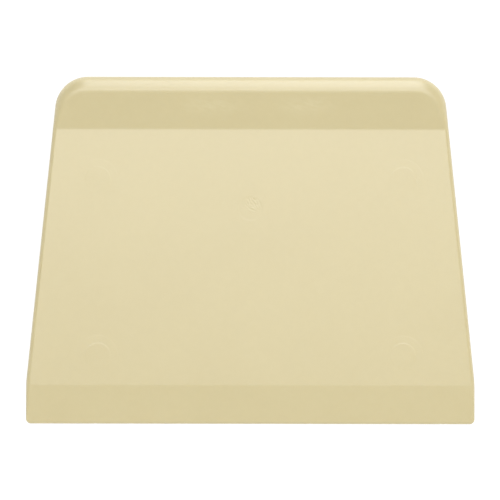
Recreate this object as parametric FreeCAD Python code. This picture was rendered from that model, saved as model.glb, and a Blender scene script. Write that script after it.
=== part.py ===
"""A rigid plastic bench scraper: one moulding with a thick rounded grip, a flat blade and a bevelled edge.

The body is the same on both faces. It is worked out in its own plane first: x runs across the blade, y runs
up it from the scraping edge to the top of the grip, and z runs through its thickness from the middle plane,
where the two halves of the mould meet. The finished body is then laid down as it rests on a bench: on the
under side of the grip, and on the line where the blade turns into its bevel.

Every edge of the outline is fully rounded, so the rounding is as thick as the body is at that place.
The skin of the body is made in bands between level sections, with a cap at the foot and one at the grip.
All sizes are in millimetres.
"""

import FreeCAD, Part
import math
import os

Vec = FreeCAD.Vector
ACROSS = Vec(1, 0, 0)
OUT = Vec(0, 0, 1)

# Outline, as seen square to the blade
BLADE_WIDTH = 150.0  # along the scraping edge
TOP_WIDTH = 128.7  # where the leaning sides would meet the top, before the corners are rounded
BODY_HEIGHT = 116.0  # from the scraping edge to the top of the grip
SHOULDER_HEIGHT = 13.6  # where the leaning sides would meet the upright ones
SHOULDER_R = 45.0  # the soft turn between them
TOP_CORNER_R = 11.0
FOOT_CORNER_R = 1.6

# Thickness
PLATE_THICKNESS = 3.0
GRIP_THICKNESS = 9.0  # the rounded bead along the top
EDGE_THICKNESS = 0.8  # the scraping edge, which is blunt and rounded
BEVEL_HEIGHT = 12.9  # from the scraping edge up to where the blade is at full thickness
GRIP_FOOT = 98.6  # height at which the blade starts to swell into the grip
GRIP_FOOT_R = 4.0  # hollow rounding where the blade turns into the grip

# Marks that the mould leaves on the front face
PIN_MARK_R = 4.2
PIN_MARK_LIFT = 0.03  # the ejector pins sit a little deep, so each leaves a low pad
PIN_MARK_X = 51.0
PIN_MARK_HEIGHTS = (22.8, 81.7)
GATE_HEIGHT = 72.0
GATE_DISH_R = 4.3
GATE_DISH_DEPTH = 0.1
GATE_STUB_R = 1.1
GATE_STUB_LENGTH = 0.06

CURVE_STEPS = 8  # steps between sections where the outline or the skin is curved
RELIEF = 1.0  # how far a cutting tool stands out of the face it cuts
MATCH = 1e-6  # how close two heights are that count as the same

PLATE_HALF = PLATE_THICKNESS / 2
SIDE_LEAN = math.atan2((BLADE_WIDTH - TOP_WIDTH) / 2, BODY_HEIGHT - SHOULDER_HEIGHT)


def skin_angle(rim_thickness, rim_run):
    """How steeply a skin leaves the flat plate to touch a rounded rim that lies rim_run further on."""
    rim_r = rim_thickness / 2
    run = rim_run - rim_r
    return math.asin(rim_r / math.hypot(run, PLATE_HALF)) - math.atan2(PLATE_HALF, run)


GRIP_ANGLE = skin_angle(GRIP_THICKNESS, BODY_HEIGHT - GRIP_FOOT)
BEVEL_ANGLE = -skin_angle(EDGE_THICKNESS, BEVEL_HEIGHT)

# The soft turn of each side, and the hollow rounding at the foot of the grip, run between these heights.
SHOULDER_START = SHOULDER_HEIGHT - SHOULDER_R * math.tan(SIDE_LEAN / 2)
SHOULDER_END = SHOULDER_START + SHOULDER_R * math.sin(SIDE_LEAN)
HOLLOW_START = GRIP_FOOT - GRIP_FOOT_R * math.tan(GRIP_ANGLE / 2)
HOLLOW_END = HOLLOW_START + GRIP_FOOT_R * math.sin(GRIP_ANGLE)

# The top corners start here, and this is how far their centres are from the middle of the blade.
TOP_CORNER_START = BODY_HEIGHT - TOP_CORNER_R * (1 - math.sin(SIDE_LEAN))
TOP_CORNER_X = TOP_WIDTH / 2 - TOP_CORNER_R * math.tan(math.pi / 4 - SIDE_LEAN / 2)


def half_width(height):
    """Half the width of the outline at a height between the foot corners and the top corners."""
    if height <= SHOULDER_START:
        return BLADE_WIDTH / 2
    if height <= SHOULDER_END:
        return BLADE_WIDTH / 2 - SHOULDER_R + math.sqrt(SHOULDER_R**2 - (height - SHOULDER_START) ** 2)
    return TOP_WIDTH / 2 + (BODY_HEIGHT - height) * math.tan(SIDE_LEAN)


def grip_skin(height):
    """Half the thickness that the slope of the grip has at a height."""
    return PLATE_HALF + (height - GRIP_FOOT) * math.tan(GRIP_ANGLE)


def bevel_skin(height):
    """Half the thickness that the bevel has at a height."""
    return PLATE_HALF + (height - BEVEL_HEIGHT) * math.tan(BEVEL_ANGLE)


def half_thickness(height):
    """Half the thickness of the body at a height between the foot corners and the top corners."""
    if height <= BEVEL_HEIGHT:
        return bevel_skin(height)
    if height <= HOLLOW_START:
        return PLATE_HALF
    if height <= HOLLOW_END:
        return PLATE_HALF + GRIP_FOOT_R - math.sqrt(GRIP_FOOT_R**2 - (height - HOLLOW_START) ** 2)
    return grip_skin(height)


def rim_arc(wall, inward, skin, angle):
    """The rounding of the rim where it stands on the outline at wall, from the front skin to the back one.

    It lies square to the middle plane, along inward, and runs smoothly into a skin that rises by angle.
    """
    skin_rise = math.atan(math.tan(angle) * inward.y)
    radius = skin(wall.y) * math.cos(skin_rise) / (1 - math.sin(skin_rise))
    depth = inward * radius * (1 - math.sin(skin_rise))
    reach = OUT * radius * math.cos(skin_rise)
    return Part.Arc(wall + depth + reach, wall, wall + depth - reach).toShape()


def level_section(height):
    """The outline of the body cut level at a height: two straight sides with rounded ends."""
    side = Vec(half_width(height), height, 0)
    other_side = Vec(-side.x, height, 0)
    right = rim_arc(side, -ACROSS, half_thickness, 0)
    left = rim_arc(other_side, ACROSS, half_thickness, 0)
    front = Part.makeLine(left.Vertexes[0].Point, right.Vertexes[0].Point)
    back = Part.makeLine(left.Vertexes[-1].Point, right.Vertexes[-1].Point)
    return Part.Wire([left, back, right, front])


def spread(start, end, steps):
    """The values from start to end in equal steps."""
    return [start + (end - start) * step / steps for step in range(steps + 1)]


def band(sections, straight):
    """The skin of the body that runs through level sections, with true planes wherever it is flat."""
    faces = []
    for face in Part.makeLoft(sections, False, straight).Faces:
        plane = face.findPlane()
        faces.append(Part.Face(plane, face.OuterWire) if plane else face)
    return faces


def straight_band(bottom, top):
    """The skin of the body between two heights where it runs straight."""
    return band([level_section(bottom), level_section(top)], True)


def curved_band(bottom, top):
    """The skin of the body between two heights where its outline or its thickness curves."""
    return band([level_section(height) for height in spread(bottom, top, CURVE_STEPS)], False)


def corner_rim(walls, hub, skin, angle):
    """The rounded rim along one corner of the outline. Its sections all point at the hub."""
    arcs = []
    for wall in walls:
        inward = Vec(hub.x - wall.x, hub.y - wall.y, 0).normalize()
        arcs.append(Part.Wire([rim_arc(wall, inward, skin, angle)]))
    return Part.makeLoft(arcs, False, False).Faces[0]


def corner_walls(centre, radius, start, end):
    """Points along one corner of the outline, between two directions from its centre."""
    turns = spread(start, end, CURVE_STEPS)
    return [centre + Vec(math.cos(turn), math.sin(turn), 0) * radius for turn in turns]


def skin_edge(rim, side):
    """The edge of a rim where it meets the front skin (side 1) or the back skin (side -1)."""
    return next(edge for edge in rim.Edges if all(end.Z * side > 0 for end in edge.Vertexes))


def cap(walls, hub, skin, angle):
    """The skin that closes the body at the foot or at the grip, from the walls of its right hand corner."""
    right = corner_rim(walls, hub, skin, angle)
    left = right.mirror(Vec(), ACROSS)
    end_arc = rim_arc(walls[-1], Vec(0, hub.y - walls[-1].y, 0).normalize(), skin, angle)
    middle = Part.makeRuledSurface(end_arc, end_arc.translated(ACROSS * -2 * hub.x))
    rims = [right, middle, left]
    skins = []
    for side in (1, -1):
        edges = [skin_edge(rim, side) for rim in rims]
        corner = next(end.Point for end in edges[0].Vertexes if abs(end.Y - hub.y) < MATCH)
        edges.append(Part.makeLine(corner, Vec(-corner.x, corner.y, corner.z)))
        skins.append(Part.Face(Part.Wire(Part.__sortEdges__(edges))))
    return rims + skins


def foot_cap():
    """The scraping edge with its two small corners."""
    hub = Vec(BLADE_WIDTH / 2 - FOOT_CORNER_R, FOOT_CORNER_R, 0)
    walls = corner_walls(hub, FOOT_CORNER_R, 0, -math.pi / 2)
    return cap(walls, hub, bevel_skin, BEVEL_ANGLE)


def grip_cap():
    """The top of the grip with its two large corners."""
    centre = Vec(TOP_CORNER_X, BODY_HEIGHT - TOP_CORNER_R, 0)
    walls = corner_walls(centre, TOP_CORNER_R, SIDE_LEAN, math.pi / 2)
    hub = Vec(TOP_CORNER_X, TOP_CORNER_START, 0)
    return cap(walls, hub, grip_skin, GRIP_ANGLE)


def blank():
    """The whole moulding before the marks of the mould."""
    faces = foot_cap()
    faces += straight_band(FOOT_CORNER_R, SHOULDER_START)
    faces += curved_band(SHOULDER_START, BEVEL_HEIGHT)
    faces += curved_band(BEVEL_HEIGHT, SHOULDER_END)
    faces += straight_band(SHOULDER_END, HOLLOW_START)
    faces += curved_band(HOLLOW_START, HOLLOW_END)
    faces += straight_band(HOLLOW_END, TOP_CORNER_START)
    faces += grip_cap()
    shell = Part.Shell(faces)
    shell.sewShape()
    solid = Part.Solid(shell)
    if solid.Volume < 0:
        solid.reverse()
    return solid


def disc(x, height, radius, low, high):
    """A round tool standing square to the plate between two heights above the middle plane."""
    return Part.makeCylinder(radius, high - low, Vec(x, height, low), OUT)


def mould_marks(body):
    """Add the four low pads of the ejector pins and the dished gate mark to the front face."""
    for height in PIN_MARK_HEIGHTS:
        for x in (-PIN_MARK_X, PIN_MARK_X):
            body = body.fuse(disc(x, height, PIN_MARK_R, 0, PLATE_HALF + PIN_MARK_LIFT))
    floor = PLATE_HALF - GATE_DISH_DEPTH
    body = body.cut(disc(0, GATE_HEIGHT, GATE_DISH_R, floor, PLATE_HALF + RELIEF))
    body = body.fuse(disc(0, GATE_HEIGHT, GATE_STUB_R, 0, floor + GATE_STUB_LENGTH))
    return body.removeSplitter().Solids[0]


def laid_on_bench(body):
    """Turn the body to its angle of rest, with the bench at zero and its own middle over the origin."""
    grip_r = GRIP_THICKNESS / 2
    grip_y = BODY_HEIGHT - grip_r
    run = grip_y - BEVEL_HEIGHT
    rest = math.asin(grip_r / math.hypot(run, PLATE_HALF)) - math.atan2(PLATE_HALF, run)
    edge_r = EDGE_THICKNESS / 2
    near = edge_r * math.cos(rest) - edge_r
    far = grip_y * math.cos(rest) + grip_r
    body = body.copy()
    body.rotate(Vec(), ACROSS, math.degrees(rest))
    body.translate(Vec(0, -(near + far) / 2, grip_r - grip_y * math.sin(rest)))
    return body


os.makedirs("parts", exist_ok=True)
laid_on_bench(mould_marks(blank())).exportStep("parts/scraper_body.step")
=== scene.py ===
"""A bench scraper: one rigid ivory plastic moulding, lying at rest on a pale bench.

The body is worked out square to itself first, in millimetres: x across the blade, y up it from the
scraping edge, z out of the face that carries the mould's marks. It is then laid down at its angle of rest,
in metres.
"""

import math

import bpy
import numpy as np
from mathutils import Matrix, Vector
from mathutils.geometry import delaunay_2d_cdt


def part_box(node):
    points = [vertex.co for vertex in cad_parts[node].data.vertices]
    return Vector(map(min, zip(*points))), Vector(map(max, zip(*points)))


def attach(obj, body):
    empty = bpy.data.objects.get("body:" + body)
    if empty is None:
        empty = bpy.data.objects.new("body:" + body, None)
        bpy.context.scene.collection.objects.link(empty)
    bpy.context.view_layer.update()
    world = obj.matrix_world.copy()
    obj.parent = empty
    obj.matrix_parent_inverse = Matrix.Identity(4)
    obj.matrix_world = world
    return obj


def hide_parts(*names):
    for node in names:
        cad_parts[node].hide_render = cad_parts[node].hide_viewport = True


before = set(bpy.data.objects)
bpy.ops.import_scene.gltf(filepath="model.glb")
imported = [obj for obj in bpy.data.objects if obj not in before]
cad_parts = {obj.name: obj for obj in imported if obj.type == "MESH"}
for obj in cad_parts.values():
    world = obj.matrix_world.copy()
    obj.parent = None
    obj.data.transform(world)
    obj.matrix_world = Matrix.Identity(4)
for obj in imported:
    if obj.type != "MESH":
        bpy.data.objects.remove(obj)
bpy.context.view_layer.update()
body_low, body_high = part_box("scraper_body")

MM = 0.001

# Outline, in millimetres
BLADE_WIDTH = (body_high.x - body_low.x) / MM
GRIP_THICKNESS = (body_high.z - body_low.z) / MM
BODY_HEIGHT = 116.0
TOP_WIDTH = 128.7
SHOULDER_HEIGHT = 13.6
TOP_CORNER_R = 11.0
FOOT_CORNER_R = 1.6

# Thickness
PLATE_HALF = 1.5
GRIP_R = GRIP_THICKNESS / 2
EDGE_R = 0.4
BEVEL_HEIGHT = 12.9
GRIP_FOOT = 98.6

# Half the run of each soft turn
SHOULDER_EASE = 2.3
BEVEL_EASE = 0.22
GRIP_FOOT_EASE = 0.47

# Marks of the mould: pins stand in a rectangle, proudest on the side that PROUD_SIDE points to
PIN_ACROSS = 102.0
PIN_UP = 58.9
PIN_MIDDLE = 52.25
PIN_R = 4.2
PIN_LIFT = 0.042
SLEEVE_R = 6.7
SLEEVE_LIFT = 0.018
GATE_HEIGHT = 72.0
GATE_R = 4.3
GATE_DEPTH = 0.028
GATE_STEP = 0.7
PROUD_SIDE = (0.26, 0.966, 0.0)
TEAR_X = 1.1
TEAR_Y = 73.8
TEAR_R = 3.6
TEAR_DEPTH = 0.26
TEAR_SLANT = 45.0
TEAR_CORE = 0.4
TEAR_STREAKS = (900.0, 2200.0, 0.0)
PAD_PATCHES = 115.0
PAD_LOW_SIDE = 0.15
PAD_THIN = 0.6
PAD_FULL = 1.1
MARK_STEP = 0.34
FLASH_LIFT = 0.03
FLASH_HALF = 0.09

# Fineness of the mesh
RIM_STEPS = 14
CORNER_STEPS = 22
EDGE_PITCH = 0.5
SIDE_PITCH = 1.4
TOP_PITCH = 1.6
FACE_PITCH = 2.6
MARK_POINTS = 72
GATE_PITCH = 0.17
CREASE_LINES = 5
CREASE_GUARD = 1.6
RIM_GUARDS = (0.12, 0.5)
PIN_RINGS = (-1.4, -0.5, -0.25, 0, 0.25, 0.5, 1.4)
GATE_RINGS = (-1.5, -0.5, 0, 0.5, 1.5)
MARK_CLEARANCE = 1.0
ROW_RATIO = 0.87
LEVEL = 1e-9
SAME_PLACE = 1e-6
MERGE_WITHIN = 1e-5

SIDE_LEAN = math.atan2((BLADE_WIDTH - TOP_WIDTH) / 2, BODY_HEIGHT - SHOULDER_HEIGHT)


# ---------------------------------------------------------------- shape of the body


def skin_angle(rim_r, run):
    """How steeply a skin leaves the flat plate to touch a rounded rim whose centre lies run further on."""
    return math.asin(rim_r / math.hypot(run, PLATE_HALF)) - math.atan2(PLATE_HALF, run)


GRIP_SLOPE = math.tan(skin_angle(GRIP_R, BODY_HEIGHT - GRIP_R - GRIP_FOOT))
BEVEL_SLOPE = -math.tan(skin_angle(EDGE_R, BEVEL_HEIGHT - EDGE_R))
TOP_CORNER_X = TOP_WIDTH / 2 - TOP_CORNER_R * math.tan(math.pi / 4 - SIDE_LEAN / 2)
TOP_CORNER_START = BODY_HEIGHT - TOP_CORNER_R * (1 - math.sin(SIDE_LEAN))


def eased_turn(past, slope_before, slope_after, ease):
    """The height of a line that turns from one slope to another over a soft run of twice ease."""
    soft = slope_before * past + (slope_after - slope_before) * (past + ease) ** 2 / (4 * ease)
    sharp = np.where(past > 0, slope_after * past, slope_before * past)
    return np.where(np.abs(past) < ease, soft, sharp)


def half_thickness(y):
    """Half the thickness of the flat of the body: bevel, plate and the slope of the grip."""
    bevel = eased_turn(y - BEVEL_HEIGHT, BEVEL_SLOPE, 0.0, BEVEL_EASE)
    grip = eased_turn(y - GRIP_FOOT, 0.0, GRIP_SLOPE, GRIP_FOOT_EASE)
    return PLATE_HALF + bevel + grip


def half_width(y):
    """Half the width of the outline between the foot corners and the top corners."""
    return BLADE_WIDTH / 2 + eased_turn(y - SHOULDER_HEIGHT, 0.0, -math.tan(SIDE_LEAN), SHOULDER_EASE)


def runs(start, end, pitch):
    """Even steps from start to end, with both ends."""
    return np.linspace(start, end, max(2, round(abs(end - start) / pitch) + 1))


def crease_levels():
    """Heights of the lines that carry the soft turns of the face, with a guard line on each side."""
    levels = []
    for middle, ease in ((BEVEL_HEIGHT, BEVEL_EASE), (GRIP_FOOT, GRIP_FOOT_EASE)):
        levels.extend(np.linspace(middle - ease, middle + ease, CREASE_LINES))
        levels.extend((middle - CREASE_GUARD * ease, middle + CREASE_GUARD * ease))
    return np.sort(np.array(levels))


def side_levels():
    """Heights of the rim sections up one side."""
    even = runs(FOOT_CORNER_R, TOP_CORNER_START, SIDE_PITCH)
    creases = crease_levels()
    clear = np.abs(even[:, None] - creases[None, :]).min(axis=1) > SIDE_PITCH / 3
    return np.sort(np.concatenate([even[clear], creases]))


def corner(centre, radius, hub, start, end):
    """Walls and inward directions round one corner, whose rim sections all point at the hub."""
    turns = np.linspace(start, end, CORNER_STEPS + 1)
    walls = np.array(centre) + radius * np.stack([np.cos(turns), np.sin(turns)], axis=1)
    inward = np.array(hub) - walls
    return walls, inward / np.linalg.norm(inward, axis=1)[:, None]


def right_half_outline():
    """Walls and inward directions from the middle of the scraping edge to the middle of the grip's top."""
    foot_x = BLADE_WIDTH / 2 - FOOT_CORNER_R
    edge_x = runs(0.0, foot_x, EDGE_PITCH)[:-1]
    edge = np.stack([edge_x, np.zeros_like(edge_x)], axis=1)
    edge_in = np.tile((0.0, 1.0), (len(edge), 1))
    foot_hub = (foot_x, FOOT_CORNER_R)
    foot, foot_in = corner(foot_hub, FOOT_CORNER_R, foot_hub, -math.pi / 2, 0)
    levels = side_levels()[1:-1]
    side = np.stack([half_width(levels), levels], axis=1)
    side_in = np.tile((-1.0, 0.0), (len(side), 1))
    centre = (TOP_CORNER_X, BODY_HEIGHT - TOP_CORNER_R)
    hub = (TOP_CORNER_X, TOP_CORNER_START)
    top, top_in = corner(centre, TOP_CORNER_R, hub, SIDE_LEAN, math.pi / 2)
    grip_x = runs(TOP_CORNER_X, 0.0, TOP_PITCH)[1:]
    grip = np.stack([grip_x, np.full_like(grip_x, BODY_HEIGHT)], axis=1)
    grip_in = np.tile((0.0, -1.0), (len(grip), 1))
    walls = np.concatenate([edge, foot, side, top, grip])
    inward = np.concatenate([edge_in, foot_in, side_in, top_in, grip_in])
    return walls, inward


def outline():
    """The whole outline as a closed loop, anticlockwise from the middle of the scraping edge."""
    walls, inward = right_half_outline()
    mirror = np.array((-1.0, 1.0))
    walls = np.concatenate([walls, walls[-2:0:-1] * mirror])
    inward = np.concatenate([inward, inward[-2:0:-1] * mirror])
    return walls, inward


def rim_rings(walls, inward):
    """The rounded rim as rings from the parting line to the flat, each an array of points."""
    upper = walls[:, 1] > BODY_HEIGHT / 2
    slope = np.where(upper, GRIP_SLOPE, BEVEL_SLOPE)
    tilt = np.arctan(slope * inward[:, 1])
    level = np.abs(inward[:, 1]) < LEVEL
    slope_foot = np.where(upper, GRIP_FOOT, BEVEL_HEIGHT)
    sloped = PLATE_HALF + slope * (walls[:, 1] - slope_foot)
    height = np.where(level, half_thickness(walls[:, 1]), sloped)
    radius = height * np.cos(tilt) / (1 - np.sin(tilt))
    flash = np.arcsin(FLASH_HALF / radius)
    rings = [np.column_stack([walls - inward * FLASH_LIFT, np.zeros(len(walls))])]
    for step in range(RIM_STEPS + 1):
        turn = flash + (math.pi / 2 - tilt - flash) * step / RIM_STEPS
        flat = walls + inward * (radius * (1 - np.cos(turn)))[:, None]
        rings.append(np.column_stack([flat, radius * np.sin(turn)]))
    for guard in RIM_GUARDS:
        flat = rings[RIM_STEPS + 1][:, :2] + inward * guard
        rings.append(np.column_stack([flat, half_thickness(flat[:, 1])]))
    return rings


class Plan:
    """Points and fixed edges from which the flat of one face is triangulated."""

    def __init__(self, loop):
        count = len(loop)
        self.points = [tuple(point) for point in loop]
        self.edges = [(place, (place + 1) % count) for place in range(count)]
        self.loop = loop

    def add_ring(self, x, y, radius, count):
        """A ring of points joined by edges."""
        first = len(self.points)
        for place in range(count):
            turn = 2 * math.pi * place / count
            self.points.append((x + radius * math.cos(turn), y + radius * math.sin(turn)))
            self.edges.append((first + place, first + (place + 1) % count))

    def add_crease(self, level):
        """A level line from side to side, joined to the loop at both ends."""
        near = np.where(np.abs(self.loop[:, 1] - level) < SAME_PLACE)[0]
        right = near[np.argmax(self.loop[near, 0])]
        left = near[np.argmin(self.loop[near, 0])]
        inner = runs(self.loop[left, 0], self.loop[right, 0], FACE_PITCH)[1:-1]
        first = len(self.points)
        self.points.extend((x, level) for x in inner)
        chain = [int(left), *range(first, first + len(inner)), int(right)]
        self.edges.extend(zip(chain[:-1], chain[1:]))

    def add_field(self, pitch, keep):
        """Staggered points inside the loop, wherever keep allows one."""
        rows = np.arange(2 * pitch, BODY_HEIGHT - GRIP_R - pitch, pitch * ROW_RATIO)
        for row, y in enumerate(rows):
            reach = half_width(y) - half_thickness(y) - pitch
            if y > TOP_CORNER_START:
                reach = min(reach, TOP_CORNER_X)
            offset = pitch / 2 * (row % 2)
            for x in np.arange(-reach + offset, reach, pitch):
                if keep(x, y):
                    self.points.append((x, y))

    def triangles(self):
        """The triangulated plan: its points, its triangles, and which given points each point came from."""
        given = [Vector(point) for point in self.points]
        found = delaunay_2d_cdt(given, self.edges, [], 1, MERGE_WITHIN)
        return np.array([tuple(point) for point in found[0]]), found[2], found[3]


def mark_centres():
    """Centres of the four pin marks."""
    across = PIN_ACROSS / 2
    up = PIN_UP / 2
    return [(x, PIN_MIDDLE + y) for x in (-across, across) for y in (-up, up)]


def add_marks(plan):
    """Rings for the mould's marks. Returns the discs that the field of points has to stay clear of."""
    clear_of = [(0.0, GATE_HEIGHT, GATE_R + MARK_CLEARANCE)]
    for x, y in mark_centres():
        clear_of.append((x, y, SLEEVE_R + MARK_CLEARANCE))
        for radius in (PIN_R, SLEEVE_R):
            for step in PIN_RINGS:
                plan.add_ring(x, y, radius + step * MARK_STEP, MARK_POINTS)
    for step in GATE_RINGS:
        plan.add_ring(0.0, GATE_HEIGHT, GATE_R + step * MARK_STEP, MARK_POINTS)
    for radius in np.arange(0.2, GATE_R - 0.6, GATE_PITCH):
        count = max(6, int(2 * math.pi * radius / GATE_PITCH))
        plan.add_ring(0.0, GATE_HEIGHT, radius, count)
    return clear_of


def face_plan(loop, marked):
    """The plan of one face, with rings for the mould's marks where the face is marked."""
    plan = Plan(loop)
    levels = crease_levels()
    for level in levels:
        plan.add_crease(level)
    clear_of = add_marks(plan) if marked else []

    def keep(x, y):
        if np.abs(levels - y).min() < FACE_PITCH / 3:
            return False
        return all(math.hypot(x - cx, y - cy) > gap for cx, cy, gap in clear_of)

    plan.add_field(FACE_PITCH, keep)
    return plan.triangles()


def add_rim(points, faces, rings, side):
    """The rounded rim of one face, from the parting line in. Returns its last ring's point numbers."""
    count = len(rings[0])
    below = list(range(count))
    for ring in rings[1:]:
        above = list(range(len(points), len(points) + count))
        points.extend((x, y, z * side) for x, y, z in ring)
        for place in range(count):
            after = (place + 1) % count
            quad = (below[place], below[after], above[after], above[place])
            faces.append(quad if side > 0 else quad[::-1])
        below = above
    return below


def add_flat(points, faces, loop, border, side):
    """The flat of one face, joined to the numbered points of its border."""
    flat, triangles, origins = face_plan(loop, side > 0)
    numbers = []
    for (x, y), origin in zip(flat, origins):
        rim_point = next((place for place in origin if place < len(border)), None)
        if rim_point is None:
            numbers.append(len(points))
            points.append((x, y, float(half_thickness(y)) * side))
        else:
            numbers.append(border[rim_point])
    for triangle in triangles:
        corners = [numbers[place] for place in triangle]
        first, second, third = (flat[place] for place in triangle)
        turn = np.cross(second - first, third - first)
        faces.append(corners if turn * side > 0 else corners[::-1])


def blank_mesh():
    """The closed skin of the moulding before the marks of the mould and of use."""
    walls, inward = outline()
    rings = rim_rings(walls, inward)
    points = [tuple(point) for point in rings[0]]
    faces = []
    for side in (1, -1):
        border = add_rim(points, faces, rings, side)
        add_flat(points, faces, rings[-1][:, :2], border, side)
    mesh = bpy.data.meshes.new("moulding")
    mesh.from_pydata([[value * MM for value in point] for point in points], [], faces)
    mesh.update()
    return mesh


# ---------------------------------------------------------------- helper for node trees


class Nodes:
    """A node tree that is written as a chain of plain calls."""

    def __init__(self, tree):
        self.tree = tree
        tree.nodes.clear()

    def add(self, kind, *inputs, out=0, **settings):
        """Add a node, set it up, feed its inputs in order and return one of its outputs."""
        node = self.tree.nodes.new(kind)
        for name, value in settings.items():
            setattr(node, name, value)
        sockets = [socket for socket in node.inputs if socket.enabled]
        for socket, value in zip(sockets, inputs):
            self.feed(socket, value)
        if isinstance(out, int):
            return [socket for socket in node.outputs if socket.enabled][out]
        return node.outputs[out]

    def feed(self, socket, value):
        """Link a socket to an output, or set it to a constant. None leaves it alone."""
        if value is None:
            return
        if isinstance(value, bpy.types.NodeSocket):
            self.tree.links.new(value, socket)
        else:
            socket.default_value = value

    def sum(self, first, second):
        return self.add("ShaderNodeMath", first, second, operation="ADD")

    def difference(self, first, second):
        return self.add("ShaderNodeMath", first, second, operation="SUBTRACT")

    def product(self, first, second):
        return self.add("ShaderNodeMath", first, second, operation="MULTIPLY")

    def split(self, vector):
        """The X, Y and Z of a vector, by name."""
        node = self.tree.nodes.new("ShaderNodeSeparateXYZ")
        self.feed(node.inputs[0], vector)
        return node.outputs

    def noise(self, place, scale, detail=1.0, roughness=0.5):
        """Soft noise over a place."""
        return self.add("ShaderNodeTexNoise", place, scale, detail, roughness)

    def fade(self, value, start, end, low=0.0, high=1.0):
        """A smooth change from low to high as value goes from start to end."""
        return self.add(
            "ShaderNodeMapRange", value, start, end, low, high, interpolation_type="SMOOTHSTEP"
        )


def new_group(name, sizes):
    """A geometry node group with the sizes given as named inputs. Returns it, its nodes and its inputs."""
    group = bpy.data.node_groups.new(name, "GeometryNodeTree")
    group.interface.new_socket("Geometry", in_out="INPUT", socket_type="NodeSocketGeometry")
    for size, value in sizes.items():
        kind = "NodeSocketInt" if isinstance(value, int) else "NodeSocketFloat"
        group.interface.new_socket(size, in_out="INPUT", socket_type=kind)
    group.interface.new_socket("Material", in_out="INPUT", socket_type="NodeSocketMaterial")
    group.interface.new_socket("Geometry", in_out="OUTPUT", socket_type="NodeSocketGeometry")
    nodes = Nodes(group)
    entry = group.nodes.new("NodeGroupInput")
    return group, nodes, {socket.name: socket for socket in entry.outputs if socket.name}


def close_group(nodes, geometry, inputs):
    """End a group in real geometry with a smooth finish and its material."""
    real = nodes.add("GeometryNodeRealizeInstances", geometry)
    smooth = nodes.add("GeometryNodeSetShadeSmooth", real)
    coated = nodes.add("GeometryNodeSetMaterial", smooth, None, inputs["Material"])
    leave = nodes.tree.nodes.new("NodeGroupOutput")
    nodes.tree.links.new(coated, leave.inputs[0])


def run_group(piece, group, sizes, material):
    """Put a group on a piece as a modifier, with its inputs set by socket."""
    modifier = piece.modifiers.new(group.name, "NODES")
    modifier.node_group = group
    values = dict(sizes, Material=material)
    for item in group.interface.items_tree:
        if item.in_out == "INPUT" and item.name in values:
            modifier[item.identifier] = values[item.name]


# ---------------------------------------------------------------- marks of the mould and of use

MARK_SIZES = {
    "Pins Across": PIN_ACROSS * MM,
    "Pins Up": PIN_UP * MM,
    "Pins Middle": PIN_MIDDLE * MM,
    "Pin Radius": PIN_R * MM,
    "Pin Lift": PIN_LIFT * MM,
    "Sleeve Radius": SLEEVE_R * MM,
    "Sleeve Lift": SLEEVE_LIFT * MM,
    "Step Width": MARK_STEP * MM,
    "Gate Height": GATE_HEIGHT * MM,
    "Gate Radius": GATE_R * MM,
    "Gate Depth": GATE_DEPTH * MM,
    "Gate Step": GATE_STEP * MM,
    "Tear Across": TEAR_X * MM,
    "Tear Height": TEAR_Y * MM,
    "Tear Radius": TEAR_R * MM,
    "Tear Depth": TEAR_DEPTH * MM,
}

NICK_FREE_ENDS = 8.0
NICK_VARIETY = 90.0

WEAR_SIZES = {
    "Edge Length": (BLADE_WIDTH - NICK_FREE_ENDS) * MM,
    "Nicks": 23,
    "Nick Radius": 0.9 * MM,
    "Nick Depth": 0.07 * MM,
    "Worn Height": 2.0 * MM,
    "Seed": 7,
}


def pin_lift(nodes, size, flat):
    """Height of the ejector pins' pads, and of the low step round each, over one face."""
    pins = nodes.add("GeometryNodeMeshGrid", size["Pins Across"], size["Pins Up"], 2, 2)
    middle = nodes.add("ShaderNodeCombineXYZ", 0.0, size["Pins Middle"], 0.0)
    placed = nodes.add("GeometryNodeTransform", pins, middle)
    near = nodes.tree.nodes.new("GeometryNodeProximity")
    near.target_element = "POINTS"
    nodes.feed(near.inputs["Geometry"], placed)
    nodes.feed(near.inputs["Sample Position"], flat)
    away = near.outputs["Distance"]
    half_step = nodes.product(size["Step Width"], 0.5)
    outside = nodes.sum(size["Pin Radius"], half_step)
    inside = nodes.difference(size["Pin Radius"], half_step)
    pad = nodes.product(nodes.fade(away, outside, inside), size["Pin Lift"])
    outside = nodes.sum(size["Sleeve Radius"], half_step)
    inside = nodes.difference(size["Sleeve Radius"], half_step)
    sleeve = nodes.product(nodes.fade(away, outside, inside), size["Sleeve Lift"])
    pin = near.outputs["Position"]
    from_pin = nodes.add("ShaderNodeVectorMath", flat, pin, operation="SUBTRACT")
    along = nodes.add(
        "ShaderNodeVectorMath", from_pin, PROUD_SIDE, operation="DOT_PRODUCT", out="Value"
    )
    low_side = nodes.product(size["Pin Radius"], -1.0)
    lean = nodes.fade(along, low_side, size["Pin Radius"], PAD_LOW_SIDE, 1.0)
    patchy = nodes.fade(nodes.noise(flat, PAD_PATCHES), 0.4, 0.6, PAD_THIN, PAD_FULL)
    uneven = nodes.product(lean, patchy)
    return nodes.product(nodes.sum(pad, sleeve), uneven)


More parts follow.
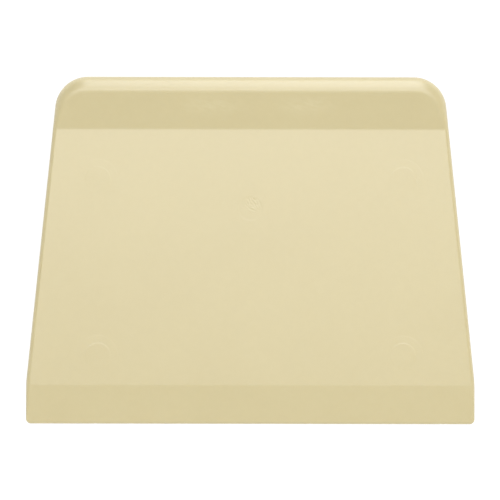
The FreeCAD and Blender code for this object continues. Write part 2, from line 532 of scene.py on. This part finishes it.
def gate_lift(nodes, size, flat):
    """Height of the gate mark: a shallow dish, torn in slanting streaks on one side of its middle."""
    middle = nodes.add("ShaderNodeCombineXYZ", 0.0, size["Gate Height"], 0.0)
    away = nodes.add("ShaderNodeVectorMath", flat, middle, operation="DISTANCE", out="Value")
    rim_in = nodes.difference(size["Gate Radius"], size["Gate Step"])
    inside = nodes.fade(away, size["Gate Radius"], rim_in)
    dish = nodes.product(inside, size["Gate Depth"])
    torn_at = nodes.add("ShaderNodeCombineXYZ", size["Tear Across"], size["Tear Height"], 0.0)
    off_tear = nodes.add("ShaderNodeVectorMath", flat, torn_at, operation="DISTANCE", out="Value")
    core = nodes.product(size["Tear Radius"], TEAR_CORE)
    within = nodes.product(nodes.fade(off_tear, size["Tear Radius"], core), inside)
    slant = math.radians(TEAR_SLANT)
    slanted = nodes.add("ShaderNodeVectorRotate", flat, None, slant, rotation_type="Z_AXIS")
    streaks = nodes.add("ShaderNodeVectorMath", slanted, TEAR_STREAKS, operation="MULTIPLY")
    torn = nodes.difference(nodes.noise(streaks, 1.0, 2.0), 0.5)
    tear = nodes.product(nodes.product(torn, size["Tear Depth"]), within)
    return nodes.difference(tear, dish)


def mould_marks_group():
    """Raise the pins' pads and sink the gate mark in the face that looks along +z."""
    group, nodes, size = new_group("mould_marks", MARK_SIZES)
    position = nodes.add("GeometryNodeInputPosition")
    split = nodes.split(position)
    flat = nodes.add("ShaderNodeCombineXYZ", split["X"], split["Y"], 0.0)
    lift = nodes.sum(pin_lift(nodes, size, flat), gate_lift(nodes, size, flat))
    offset = nodes.add("ShaderNodeCombineXYZ", 0.0, 0.0, lift)
    front = nodes.add("FunctionNodeCompare", split["Z"], 0.0, operation="GREATER_THAN")
    moved = nodes.add("GeometryNodeSetPosition", size["Geometry"], front, None, offset)
    close_group(nodes, moved, size)
    return group


def edge_wear_group():
    """Small nicks that use leaves along the scraping edge."""
    group, nodes, size = new_group("edge_wear", WEAR_SIZES)
    position = nodes.add("GeometryNodeInputPosition")
    split = nodes.split(position)
    flat = nodes.add("ShaderNodeCombineXYZ", split["X"], split["Y"], 0.0)
    start = nodes.add("ShaderNodeCombineXYZ", nodes.product(size["Edge Length"], -0.5), 0.0, 0.0)
    pitch = nodes.add("ShaderNodeMath", size["Edge Length"], size["Nicks"], operation="DIVIDE")
    step = nodes.add("ShaderNodeCombineXYZ", pitch, 0.0, 0.0)
    row = nodes.add("GeometryNodeMeshLine", size["Nicks"], start, step, mode="OFFSET")
    shift = nodes.add("FunctionNodeRandomValue", 0.0, pitch, None, size["Seed"], data_type="FLOAT")
    shift = nodes.add("ShaderNodeCombineXYZ", shift, 0.0, 0.0)
    scattered = nodes.add("GeometryNodeSetPosition", row, None, None, shift)
    away = nodes.add(
        "GeometryNodeProximity", scattered, None, flat, out="Distance", target_element="POINTS"
    )
    strength = nodes.fade(nodes.noise(flat, NICK_VARIETY), 0.35, 0.7)
    deep = nodes.product(strength, size["Nick Depth"])
    nick = nodes.product(nodes.fade(away, size["Nick Radius"], 0.0), deep)
    near_edge = nodes.fade(split["Y"], size["Worn Height"], 0.0)
    offset = nodes.add("ShaderNodeCombineXYZ", 0.0, nodes.product(nick, near_edge), 0.0)
    moved = nodes.add("GeometryNodeSetPosition", size["Geometry"], None, None, offset)
    close_group(nodes, moved, size)
    return group


# ---------------------------------------------------------------- plastic

# Colours
IVORY_PALE = (0.492, 0.425, 0.237, 1.0)
IVORY_DEEP = (0.474, 0.408, 0.225, 1.0)
# The next colour is painted shade: a darker band along the scraping edge where the bench's contact shadow
# would fall
EDGE_PAINTED_SHADE = (0.400, 0.350, 0.210, 1.0)
SCUFFED = (0.520, 0.455, 0.266, 1.0)
TORN = (0.514, 0.450, 0.262, 1.0)

# Patches on the face, in millimetres, and their slants in radians
# How far the painted shade along the scraping edge reaches up, in millimetres, and how much of it lies at
# the edge
EDGE_SHADE_REACH = 0.9
EDGE_SHADE_MOST = 0.6
SCUFFS = ((-13.0, 48.4), (18.5, 48.2))
SCUFF_REACH = (14.0, 4.4)
SCUFF_STREAK = (3.2, 1.3)
SCUFF_SLANT = -0.3
TORN_STREAK = (1.3, 0.42)
TORN_SLANT = -math.radians(TEAR_SLANT)

# Fineness of the patterns, in repeats to the metre
CLOUDS = 26.0
MOTTLES = 380.0
GRAINS = 2600.0
HANDLINGS = 40.0
HAIRLINES = (60.0, 4200.0, 60.0)
HAIRLINE_SLANT = (0.0, 0.0, 0.5)

# Gloss, relief and depth
SATIN = (0.35, 0.37)
HAIRLINE_DULL = 0.012
SCUFF_DULL = 0.02
GRAIN_RELIEF = 0.6
HAIRLINE_RELIEF = -0.05
RELIEF_STRENGTH = 0.25
RELIEF_DEPTH = 0.02 * MM
PLASTIC_IOR = 1.5
PLASTIC_SPECULAR = 1.0
SCATTER = 0.12
SCATTER_COLOUR = (1.0, 0.8, 0.5)
SCATTER_DEPTH = 1.2 * MM


def streaked_patch(nodes, place, middle, reach, streak, slant):
    """A soft patch of slanting streaks round a point of the face, on both faces."""
    turn = (0.0, 0.0, slant)
    size = (streak[0] * MM, streak[1] * MM, 1.0)
    slanted = nodes.add("ShaderNodeMapping", place, None, turn, size, vector_type="TEXTURE")
    streaks = nodes.fade(nodes.noise(slanted, 1.0, 3.0), 0.3, 0.7)
    size = (1 / (reach[0] * MM), 1 / (reach[1] * MM), 0.0)
    shift = (-middle[0] / reach[0], -middle[1] / reach[1], 0.0)
    local = nodes.add("ShaderNodeMapping", place, shift, None, size)
    away = nodes.add("ShaderNodeVectorMath", local, operation="LENGTH", out="Value")
    return nodes.product(streaks, nodes.fade(away, 1.0, 0.0))


def scuffs(nodes, place):
    """Where handling has rubbed the top of the grip's slope."""
    left, right = (
        streaked_patch(nodes, place, spot, SCUFF_REACH, SCUFF_STREAK, SCUFF_SLANT) for spot in SCUFFS
    )
    return nodes.sum(left, right)


def torn_gate(nodes, place):
    """The plastic that went pale where the gate was torn off."""
    middle = (TEAR_X, TEAR_Y - BODY_HEIGHT / 2)
    return streaked_patch(nodes, place, middle, (TEAR_R, TEAR_R), TORN_STREAK, TORN_SLANT)


def mixed(nodes, factor, first, second):
    """A colour between two, by a factor."""
    mix = nodes.tree.nodes.new("ShaderNodeMix")
    mix.data_type = "RGBA"
    nodes.feed(mix.inputs["Factor"], factor)
    nodes.feed(mix.inputs[6], first)
    nodes.feed(mix.inputs[7], second)
    return mix.outputs[2]


def ivory_colour(nodes, place, shade, rubbed):
    """Clouded ivory, paler at the scuffs and the torn gate, with painted shade darker along the scraping
    edge in place of the bench's contact shadow.
    """
    ivory = mixed(nodes, shade, IVORY_DEEP, IVORY_PALE)
    ivory = mixed(nodes, rubbed, ivory, SCUFFED)
    ivory = mixed(nodes, torn_gate(nodes, place), ivory, TORN)
    # Painted shade: darker towards the scraping edge, standing in for the bench's contact shadow
    painted_shade_to = body_low.y + EDGE_SHADE_REACH * MM
    painted_edge_shade = nodes.fade(nodes.split(place)["Y"], painted_shade_to, body_low.y, 0.0, EDGE_SHADE_MOST)
    return mixed(nodes, painted_edge_shade, ivory, EDGE_PAINTED_SHADE)


def hairline_scratches(nodes, place):
    """Fine slanting scratches, only where the plastic has been handled."""
    hair = nodes.add("ShaderNodeMapping", place, None, HAIRLINE_SLANT, HAIRLINES)
    hairline = nodes.fade(nodes.noise(hair, 1.0, 2.0), 0.6, 0.8)
    handled = nodes.fade(nodes.noise(place, HANDLINGS, 2.0), 0.45, 0.65)
    return nodes.product(hairline, handled)


def fine_relief(nodes, place, scratch):
    """The grain of the mould's surface and the scratches in it, as a bent normal."""
    grain = nodes.noise(place, GRAINS, 2.0, 0.6)
    relief = nodes.sum(nodes.product(grain, GRAIN_RELIEF), nodes.product(scratch, HAIRLINE_RELIEF))
    bump = nodes.tree.nodes.new("ShaderNodeBump")
    bump.inputs["Strength"].default_value = RELIEF_STRENGTH
    bump.inputs["Distance"].default_value = RELIEF_DEPTH
    nodes.feed(bump.inputs["Height"], relief)
    return bump.outputs["Normal"]


def moulded_plastic():
    """Satin ivory plastic: faint clouding and mottling, a fine grain, hairlines and scuffs."""
    material = bpy.data.materials.new("moulded_plastic")
    material.use_nodes = True
    nodes = Nodes(material.node_tree)
    place = nodes.add("ShaderNodeTexCoord", out="Object")
    cloud = nodes.fade(nodes.noise(place, CLOUDS, 3.0, 0.55), 0.3, 0.7)
    mottle = nodes.fade(nodes.noise(place, MOTTLES, 4.0, 0.7), 0.3, 0.7)
    shade = nodes.sum(nodes.product(cloud, 0.5), nodes.product(mottle, 0.5))
    rubbed = scuffs(nodes, place)
    scratch = hairline_scratches(nodes, place)
    worn = nodes.sum(nodes.product(scratch, HAIRLINE_DULL), nodes.product(rubbed, SCUFF_DULL))
    dullness = nodes.sum(nodes.fade(shade, 0.0, 1.0, *SATIN), worn)

    shader = nodes.tree.nodes.new("ShaderNodeBsdfPrincipled")
    nodes.feed(shader.inputs["Base Color"], ivory_colour(nodes, place, shade, rubbed))
    nodes.feed(shader.inputs["Roughness"], dullness)
    nodes.feed(shader.inputs["Normal"], fine_relief(nodes, place, scratch))
    shader.inputs["IOR"].default_value = PLASTIC_IOR
    shader.inputs["Specular IOR Level"].default_value = PLASTIC_SPECULAR
    shader.inputs["Subsurface Weight"].default_value = SCATTER
    shader.inputs["Subsurface Radius"].default_value = SCATTER_COLOUR
    shader.inputs["Subsurface Scale"].default_value = SCATTER_DEPTH
    output = nodes.tree.nodes.new("ShaderNodeOutputMaterial")
    nodes.feed(output.inputs["Surface"], shader.outputs["BSDF"])
    return material


# ---------------------------------------------------------------- the piece, laid on the bench


def rest_pose():
    """The turn and shift that lay the body on its bevel line and on the under side of its grip."""
    grip_y = BODY_HEIGHT - GRIP_R
    rest = skin_angle(GRIP_R, grip_y - BEVEL_HEIGHT)
    near = EDGE_R * math.cos(rest) - EDGE_R
    far = grip_y * math.cos(rest) + GRIP_R
    shift = Vector((0.0, -(near + far) / 2, GRIP_R - grip_y * math.sin(rest))) * MM
    return Matrix.Translation(shift) @ Matrix.Rotation(rest, 4, "X")


def scraper_body(pose):
    """The finished moulding as one plain mesh, in place on the bench."""
    draft = bpy.data.objects.new("draft", blank_mesh())
    bpy.context.scene.collection.objects.link(draft)
    plastic = moulded_plastic()
    run_group(draft, mould_marks_group(), MARK_SIZES, plastic)
    run_group(draft, edge_wear_group(), WEAR_SIZES, plastic)
    evaluated = draft.evaluated_get(bpy.context.evaluated_depsgraph_get())
    mesh = bpy.data.meshes.new_from_object(evaluated)
    bpy.data.objects.remove(draft)
    mesh.name = "scraper_moulding"
    mesh.transform(pose)
    piece = bpy.data.objects.new("scraper_moulding", mesh)
    bpy.context.scene.collection.objects.link(piece)
    return piece


# ---------------------------------------------------------------- bench, light and camera


BENCH_HALF = 2.0
BENCH_GREY = (0.2, 0.2, 0.2, 1.0)
BENCH_ROUGHNESS = 0.9
BENCH_GLOW = 0.85
WHITE = (1.0, 1.0, 1.0, 1.0)


def bench():
    """A plain pale surface under the scraper, with a glow of its own."""
    half = BENCH_HALF
    mesh = bpy.data.meshes.new("bench")
    corners = [(-half, -half, 0), (half, -half, 0), (half, half, 0), (-half, half, 0)]
    mesh.from_pydata(corners, [], [(0, 1, 2, 3)])
    material = bpy.data.materials.new("bench_white")
    material.use_nodes = True
    shader = material.node_tree.nodes["Principled BSDF"]
    shader.inputs["Base Color"].default_value = BENCH_GREY
    shader.inputs["Roughness"].default_value = BENCH_ROUGHNESS
    shader.inputs["Specular IOR Level"].default_value = 0.0
    shader.inputs["Emission Color"].default_value = WHITE
    shader.inputs["Emission Strength"].default_value = BENCH_GLOW
    mesh.materials.append(material)
    floor = bpy.data.objects.new("bench", mesh)
    bpy.context.scene.collection.objects.link(floor)


# Lights: sizes in metres, angles in degrees from the vertical, strips' power in watts to the degree
ROOM_LIGHT = 0.34
LIGHT_DISTANCE = 1.2
OVERHEAD_END = 14.0
OVERHEAD_WIDTH = 1.0
OVERHEAD_POWER = 0.285
ARCH_START = 22.0
ARCH_END = 90.0
ARCH_STRIPS = 5
ARCH_WIDTH = 0.72
ARCH_POWER = 0.181
ARCH_ASIDE = 0.12
FILL_DEPTH = 0.4
FRONT_WIDTH = 1.2
FRONT_POWER = 12.3
SIDE_WIDTH = 0.9
RIGHT_POWER = 4.8
LEFT_POWER = 3.6


def softbox(name, towards, width, depth, power, mirrored=True):
    """A rectangular light that looks at the scraper's middle. If not mirrored, gloss doesn't show it."""
    light = bpy.data.lights.new(name, "AREA")
    light.shape = "RECTANGLE"
    light.size = width
    light.size_y = depth
    light.energy = power
    lamp = bpy.data.objects.new(name, light)
    lamp.location = Vector(towards).normalized() * LIGHT_DISTANCE
    lamp.rotation_euler = Vector(towards).to_track_quat("Z", "Y").to_euler()
    lamp.visible_glossy = mirrored
    bpy.context.scene.collection.objects.link(lamp)


def strip(name, start, end, width, power_per_degree, aside=0.0):
    """A soft box over the grip's side that spans a range of angles from the vertical, in degrees."""
    middle = math.radians((start + end) / 2)
    depth = 2 * LIGHT_DISTANCE * math.tan(math.radians((end - start) / 2))
    towards = (aside, math.sin(middle), math.cos(middle))
    softbox(name, towards, width, depth, power_per_degree * (end - start))


def studio_light():
    """A pale room, a box overhead, an arch of strips down to the bench past the grip, and three fills."""
    world = bpy.data.worlds.new("studio")
    world.use_nodes = True
    background = world.node_tree.nodes["Background"]
    background.inputs["Color"].default_value = WHITE
    background.inputs["Strength"].default_value = ROOM_LIGHT
    bpy.context.scene.world = world
    strip("overhead_box", 0.0, OVERHEAD_END, OVERHEAD_WIDTH, OVERHEAD_POWER)
    turns = np.linspace(ARCH_START, ARCH_END, ARCH_STRIPS + 1)
    for number, (start, end) in enumerate(zip(turns[:-1], turns[1:])):
        strip(f"arch_strip_{number}", start, end, ARCH_WIDTH, ARCH_POWER, ARCH_ASIDE)
    softbox("front_fill", (0.0, -0.89, 0.45), FRONT_WIDTH, FILL_DEPTH, FRONT_POWER, mirrored=False)
    softbox("right_fill", (0.97, 0.0, 0.22), SIDE_WIDTH, FILL_DEPTH, RIGHT_POWER, mirrored=False)
    softbox("left_fill", (-0.97, 0.0, 0.22), SIDE_WIDTH, FILL_DEPTH, LEFT_POWER, mirrored=False)


# Camera: metres, but for its small shifts in millimetres and its roll in degrees
CAMERA_DISTANCE = 1.0
CAMERA_FIELD = 0.1673
CAMERA_REACH = 20.0
SENSOR_WIDTH = 36.0
CAMERA_ASIDE = -0.18
CAMERA_RAISED = 0.14
CAMERA_ROLL = 0.1


def camera(pose):
    """A long lens square to the face of the scraper."""
    lens = bpy.data.cameras.new("camera")
    lens.sensor_width = SENSOR_WIDTH
    lens.lens = SENSOR_WIDTH * CAMERA_DISTANCE / CAMERA_FIELD
    lens.clip_end = CAMERA_REACH
    view = bpy.data.objects.new("camera", lens)
    height = (BODY_HEIGHT / 2 + CAMERA_RAISED) * MM
    middle = Vector((CAMERA_ASIDE * MM, height, CAMERA_DISTANCE))
    roll = Matrix.Rotation(math.radians(CAMERA_ROLL), 4, "Z")
    view.matrix_world = pose @ Matrix.Translation(middle) @ roll
    bpy.context.scene.collection.objects.link(view)
    bpy.context.scene.camera = view


bpy.context.scene.view_settings.view_transform = "Standard"
pose = rest_pose()
body = scraper_body(pose)
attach(body, "root")
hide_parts("scraper_body")
bench()
studio_light()
camera(pose)
